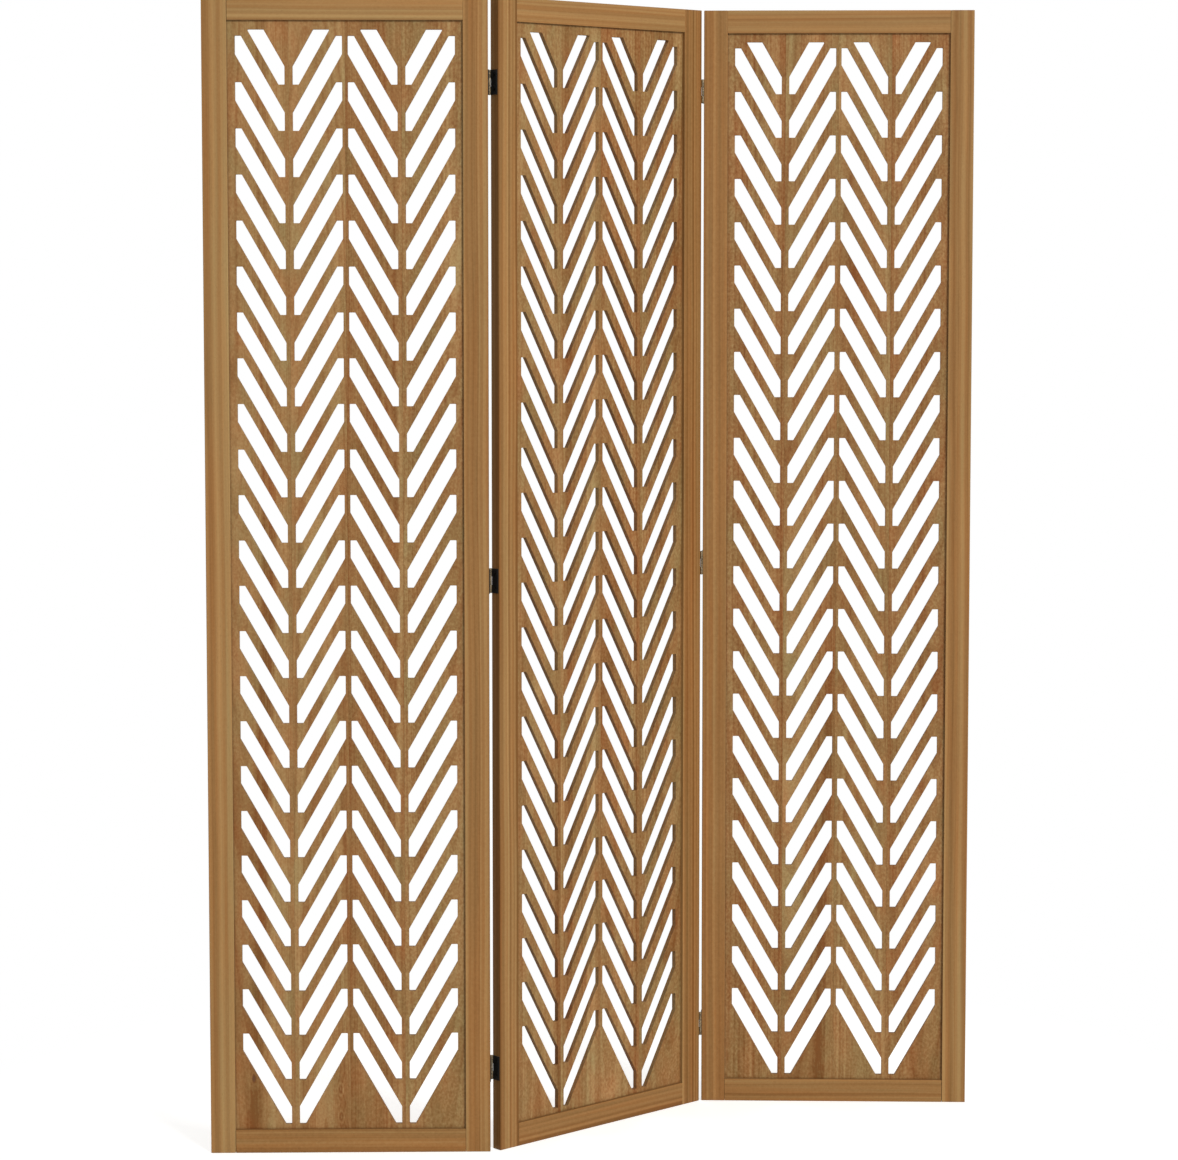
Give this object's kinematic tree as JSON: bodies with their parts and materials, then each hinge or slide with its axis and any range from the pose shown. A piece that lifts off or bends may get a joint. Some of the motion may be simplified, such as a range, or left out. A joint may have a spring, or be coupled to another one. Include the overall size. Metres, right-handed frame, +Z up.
{
  "type": "folding screen",
  "caption": "Free-standing folding screen: hinged wooden frames that hold thin boards pierced with slanted slots in a chevron pattern.",
  "frame": {"origin": "on the floor, under the middle of the box round the screen as it stands in its zigzag", "axes": "+Z up, +X to the right along the screen as seen from its front, +Y from the front to the back"},
  "size_m": [1.21, 0.3121, 1.78],
  "materials": {
    "frame_wood": "oiled, straight grain",
    "board_wood": "oiled, upright grain",
    "hinge_black": "satin black",
    "pin_steel": "blackened steel"
  },
  "bodies": {
    "left_panel": {"left_panel_left_stile": "frame_wood", "left_panel_right_stile": "frame_wood", "left_panel_top_rail": "frame_wood", "left_panel_bottom_rail": "frame_wood", "left_panel_lattice_plank_1": "board_wood", "left_panel_lattice_plank_2": "board_wood", "left_panel_lattice_plank_3": "board_wood", "left_panel_lattice_plank_4": "board_wood", "left_joint_lower_hinge_left_leaf": "hinge_black", "left_joint_middle_hinge_left_leaf": "hinge_black", "left_joint_upper_hinge_left_leaf": "hinge_black"},
    "centre_panel": {"centre_panel_left_stile": "frame_wood", "centre_panel_right_stile": "frame_wood", "centre_panel_top_rail": "frame_wood", "centre_panel_bottom_rail": "frame_wood", "centre_panel_lattice_plank_1": "board_wood", "centre_panel_lattice_plank_2": "board_wood", "centre_panel_lattice_plank_3": "board_wood", "centre_panel_lattice_plank_4": "board_wood", "left_joint_lower_hinge_centre_leaf": "hinge_black", "left_joint_lower_hinge_pin": "pin_steel", "left_joint_middle_hinge_centre_leaf": "hinge_black", "left_joint_middle_hinge_pin": "pin_steel", "left_joint_upper_hinge_centre_leaf": "hinge_black", "left_joint_upper_hinge_pin": "pin_steel", "right_joint_lower_hinge_centre_leaf": "hinge_black", "right_joint_lower_hinge_pin": "pin_steel", "right_joint_middle_hinge_centre_leaf": "hinge_black", "right_joint_middle_hinge_pin": "pin_steel", "right_joint_upper_hinge_centre_leaf": "hinge_black", "right_joint_upper_hinge_pin": "pin_steel"},
    "right_panel": {"right_panel_left_stile": "frame_wood", "right_panel_right_stile": "frame_wood", "right_panel_top_rail": "frame_wood", "right_panel_bottom_rail": "frame_wood", "right_panel_lattice_plank_1": "board_wood", "right_panel_lattice_plank_2": "board_wood", "right_panel_lattice_plank_3": "board_wood", "right_panel_lattice_plank_4": "board_wood", "right_joint_lower_hinge_right_leaf": "hinge_black", "right_joint_middle_hinge_right_leaf": "hinge_black", "right_joint_upper_hinge_right_leaf": "hinge_black"}
  },
  "joints": [
    {"name": "left_panel_fold", "type": "hinge", "parent": "centre_panel", "child": "left_panel", "pos_m": [-0.1701, -0.13758, 0.89], "axis": [0, 0, -1], "range_deg": [-41.5, 138.5]},
    {"name": "right_panel_fold", "type": "hinge", "parent": "centre_panel", "child": "right_panel", "pos_m": [0.16971, 0.13769, 0.89], "axis": [0, 0, -1], "range_deg": [-44.15, 135.85]}
  ]
}
